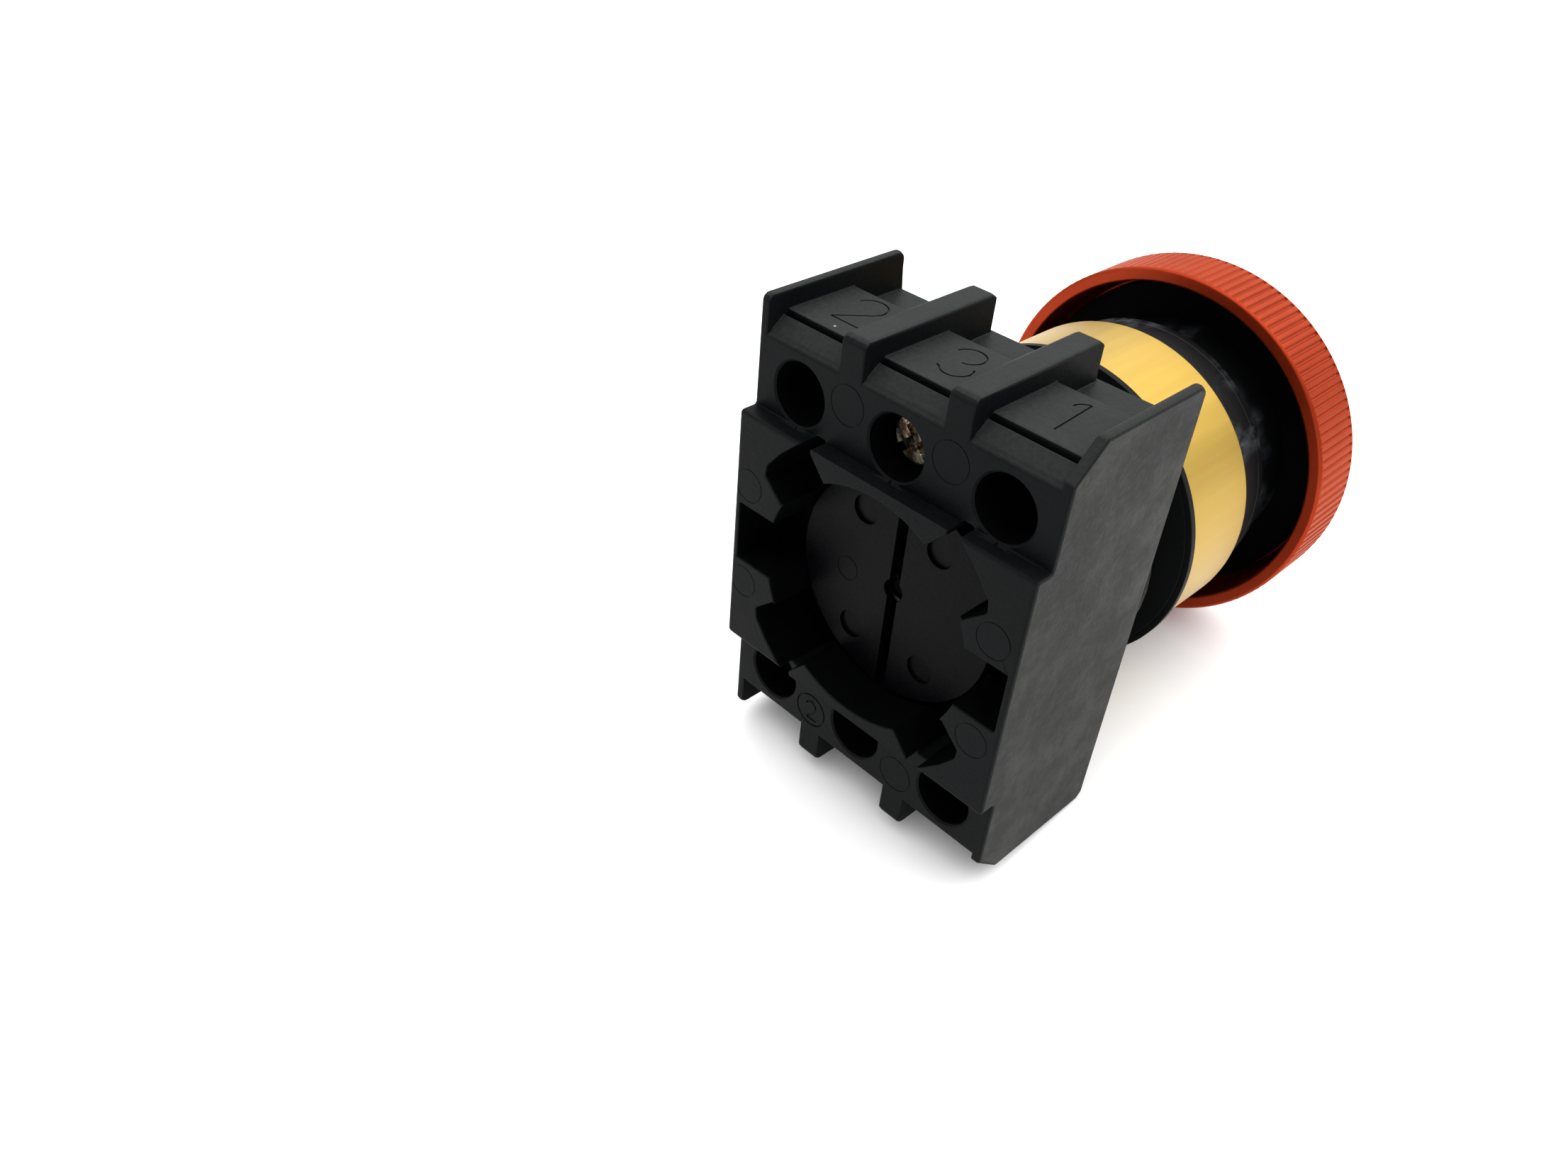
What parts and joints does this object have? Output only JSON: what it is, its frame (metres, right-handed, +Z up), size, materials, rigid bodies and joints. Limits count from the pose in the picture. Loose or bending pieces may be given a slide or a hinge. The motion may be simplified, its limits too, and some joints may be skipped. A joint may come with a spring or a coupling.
{
  "type": "emergency stop button",
  "caption": "Panel-mounted emergency stop push button: knurled twist-release mushroom head, bezel sleeve, ring nut and a rear contact block with screw terminals.",
  "frame": {"origin": "on the button's axis, in the plane of the panel's front face, where the gasket seats", "axes": "+Y along the axis from the head to the contact block, so the head faces -Y; +Z up; +X completes the frame"},
  "size_m": [0.035, 0.0494, 0.042],
  "materials": {
    "red_anodised": "satin red anodised, knurled rim",
    "gold_anodised": "brushed gold anodised",
    "black_plastic": "fine-grained moulded nylon",
    "dark_plastic": "satin moulded",
    "seal_rubber": "smooth",
    "steel": "zinc plated",
    "zinc": "die-cast, satin",
    "brass": "stamped",
    "silver": "polished contact silver"
  },
  "bodies": {
    "housing": {"actuator_body": "black_plastic", "bezel_sleeve": "gold_anodised", "front_gasket": "seal_rubber", "stem_seal": "seal_rubber", "latch_sleeve": "zinc", "return_spring": "steel", "latch_spring_right": "steel", "latch_spring_left": "steel", "contact_housing": "black_plastic", "rear_cover_left": "black_plastic", "rear_cover_right": "black_plastic", "front_cover": "black_plastic", "contact_spring": "steel", "fixed_contact_top": "brass", "fixed_tip_top": "silver", "fixed_contact_bottom": "brass", "fixed_tip_bottom": "silver"},
    "stem": {"stem": "zinc", "hub_circlip": "steel", "stem_circlip": "steel"},
    "head": {"mushroom_head": "red_anodised", "head_hub": "dark_plastic", "plunger_skirt": "dark_plastic", "twist_spring": "steel"},
    "contact_carrier": {"contact_plunger": "dark_plastic", "contact_bridge": "brass", "moving_tip_top": "silver", "moving_tip_bottom": "silver"},
    "latch_pin_right": {"latch_pin_right": "steel"},
    "latch_pin_left": {"latch_pin_left": "steel"},
    "lock_ring": {"lock_ring": "black_plastic"},
    "mounting_nut": {"mounting_nut": "black_plastic"},
    "clamp_top": {"clamp_plate_top": "steel"},
    "screw_top": {"terminal_screw_top": "steel"},
    "clamp_bottom": {"clamp_plate_bottom": "steel"},
    "screw_bottom": {"terminal_screw_bottom": "steel"}
  },
  "joints": [
    {"name": "head_press", "type": "slide", "parent": "housing", "child": "stem", "axis": [0, 1, 0], "range_m": [0, 0.004], "stiffness_N_per_m": 2500, "springref_m": -0.004, "deforming": ["return_spring"]},
    {"name": "head_twist", "type": "hinge", "parent": "stem", "child": "head", "pos_m": [0, 0, 0], "axis": [0, 1, 0], "range_deg": [0, 45], "stiffness_Nm_per_rad": 0.05, "springref_deg": -17.19},
    {"name": "contact_slide", "type": "slide", "parent": "housing", "child": "contact_carrier", "axis": [0, 1, 0], "range_m": [0, 0.004], "deforming": ["contact_spring"]},
    {"name": "latch_right_slide", "type": "slide", "parent": "housing", "child": "latch_pin_right", "axis": [1, 0, 0], "range_m": [0, 0.0008], "deforming": ["latch_spring_right"]},
    {"name": "latch_left_slide", "type": "slide", "parent": "housing", "child": "latch_pin_left", "axis": [-1, 0, 0], "range_m": [0, 0.0008], "deforming": ["latch_spring_left"]},
    {"name": "lock_ring_slide", "type": "slide", "parent": "housing", "child": "lock_ring", "axis": [0, -1, 0], "range_m": [0, 0.003]},
    {"name": "nut_turn", "type": "hinge", "parent": "lock_ring", "child": "mounting_nut", "pos_m": [0, 0, 0], "axis": [0, -1, 0], "range_deg": [0, 720]},
    {"name": "clamp_top_slide", "type": "slide", "parent": "housing", "child": "clamp_top", "axis": [0, -1, 0], "range_m": [0, 0.002]},
    {"name": "screw_top_turn", "type": "hinge", "parent": "clamp_top", "child": "screw_top", "pos_m": [0, 0, 0.0142], "axis": [0, -1, 0], "range_deg": [0, 1440]},
    {"name": "clamp_bottom_slide", "type": "slide", "parent": "housing", "child": "clamp_bottom", "axis": [0, -1, 0], "range_m": [0, 0.002]},
    {"name": "screw_bottom_turn", "type": "hinge", "parent": "clamp_bottom", "child": "screw_bottom", "pos_m": [0, 0, -0.0142], "axis": [0, -1, 0], "range_deg": [0, 1440]}
  ],
  "couplings": [
    {"joint": "contact_slide", "follows": "head_press", "ratio": 1},
    {"joint": "latch_right_slide", "follows": "head_press", "ratio": 0.2},
    {"joint": "latch_left_slide", "follows": "head_press", "ratio": 0.2},
    {"joint": "nut_turn", "follows": "lock_ring_slide", "rad_per_m": 4188.8},
    {"joint": "screw_top_turn", "follows": "clamp_top_slide", "rad_per_m": 12566},
    {"joint": "screw_bottom_turn", "follows": "clamp_bottom_slide", "rad_per_m": 12566}
  ]
}
